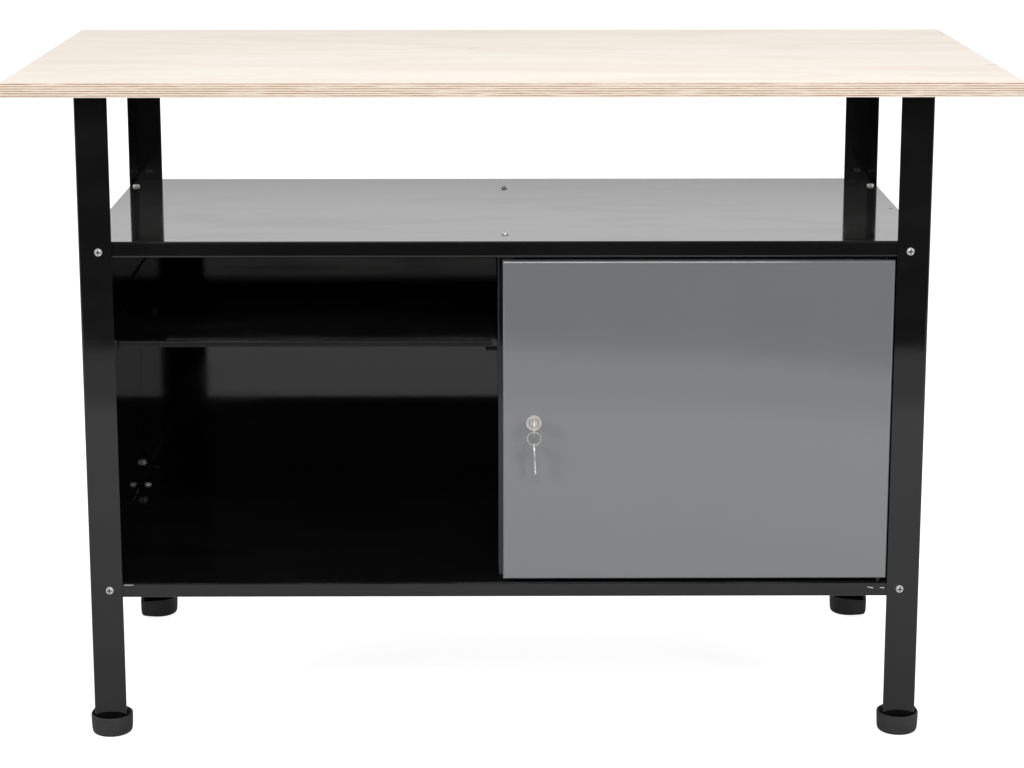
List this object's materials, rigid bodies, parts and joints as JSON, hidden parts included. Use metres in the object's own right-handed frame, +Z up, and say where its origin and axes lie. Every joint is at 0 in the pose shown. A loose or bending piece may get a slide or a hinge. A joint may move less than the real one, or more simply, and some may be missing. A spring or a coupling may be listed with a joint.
{
  "type": "workbench with cabinet",
  "caption": "Steel workbench with a plywood top on angle legs, an open shelf below it, an open compartment with an inner shelf, and a lockable hinged door on the right half.",
  "frame": {"origin": "on the floor, under the middle of the worktop", "axes": "+X along the bench to the right as seen from the front, +Y to the back, +Z up; the door faces -Y"},
  "size_m": [1.2, 0.6, 0.83],
  "materials": {
    "birch_plywood": "bare sanded birch plywood with layered edges",
    "black_powder_coat": "gloss black powder coat",
    "door_grey": "satin mid-grey powder coat",
    "zinc": "bright zinc plating",
    "nickel": "polished nickel plating",
    "foot_rubber": "matt dark grey soft PVC"
  },
  "bodies": {
    "frame": {"worktop": "birch_plywood", "leg_front_left": "black_powder_coat", "leg_front_right": "black_powder_coat", "leg_rear_left": "black_powder_coat", "leg_rear_right": "black_powder_coat", "upper_shelf": "black_powder_coat", "lower_shelf": "black_powder_coat", "side_panel_left": "black_powder_coat", "side_panel_right": "black_powder_coat", "back_panel": "black_powder_coat", "centre_partition": "black_powder_coat", "inner_shelf": "black_powder_coat", "foot_cap_front_left": "foot_rubber", "foot_cap_front_right": "foot_rubber", "foot_cap_rear_left": "foot_rubber", "foot_cap_rear_right": "foot_rubber", "shelf_clip_front_left": "black_powder_coat", "shelf_clip_front_right": "black_powder_coat", "shelf_clip_rear_left": "black_powder_coat", "shelf_clip_rear_right": "black_powder_coat", "hinge_pin_upper": "black_powder_coat", "hinge_pin_lower": "black_powder_coat", "upper_lip_bolt_front_left": "zinc", "lower_lip_bolt_front_left": "zinc", "upper_lip_bolt_front_right": "zinc", "lower_lip_bolt_front_right": "zinc", "upper_lip_bolt_rear_left": "zinc", "lower_lip_bolt_rear_left": "zinc", "upper_lip_bolt_rear_right": "zinc", "lower_lip_bolt_rear_right": "zinc", "back_panel_bolt_left": "zinc", "back_panel_bolt_right": "zinc", "side_panel_bolt_front_left": "zinc", "side_panel_bolt_front_right": "zinc", "side_panel_bolt_rear_left": "zinc", "side_panel_bolt_rear_right": "zinc", "shelf_screw_front_left": "zinc", "shelf_screw_front_right": "zinc", "shelf_screw_rear_left": "zinc", "shelf_screw_rear_right": "zinc", "shelf_screw_front_centre": "zinc", "shelf_screw_rear_centre": "zinc", "floor_screw_rear_left": "zinc", "floor_screw_rear_right": "zinc", "worktop_screw_front_left": "zinc", "worktop_screw_front_right": "zinc", "worktop_screw_rear_left": "zinc", "worktop_screw_rear_right": "zinc"},
    "door": {"door_panel": "door_grey", "lock_barrel": "nickel", "lock_nut": "zinc"},
    "lock": {"lock_plug": "nickel", "lock_cam": "zinc", "cam_screw": "zinc", "key": "nickel"},
    "ring": {"key_ring": "nickel"},
    "spare": {"spare_key": "nickel"}
  },
  "joints": [
    {"name": "door_hinge", "type": "hinge", "parent": "frame", "child": "door", "pos_m": [0.4545, -0.231, 0.404], "axis": [0, 0, 1], "range_deg": [0, 95]},
    {"name": "lock_turn", "type": "hinge", "parent": "door", "child": "lock", "pos_m": [0.0255, -0.24, 0.403], "axis": [0, -1, 0], "range_deg": [0, 90]},
    {"name": "ring_swing", "type": "hinge", "parent": "lock", "child": "ring", "pos_m": [0.0255, -0.257, 0.3958], "axis": [-1, 0, 0], "range_deg": [-5, 60]},
    {"name": "spare_key_swing", "type": "hinge", "parent": "ring", "child": "spare", "pos_m": [0.0255, -0.257, 0.3794], "axis": [-1, 0, 0], "range_deg": [-5, 60]}
  ]
}
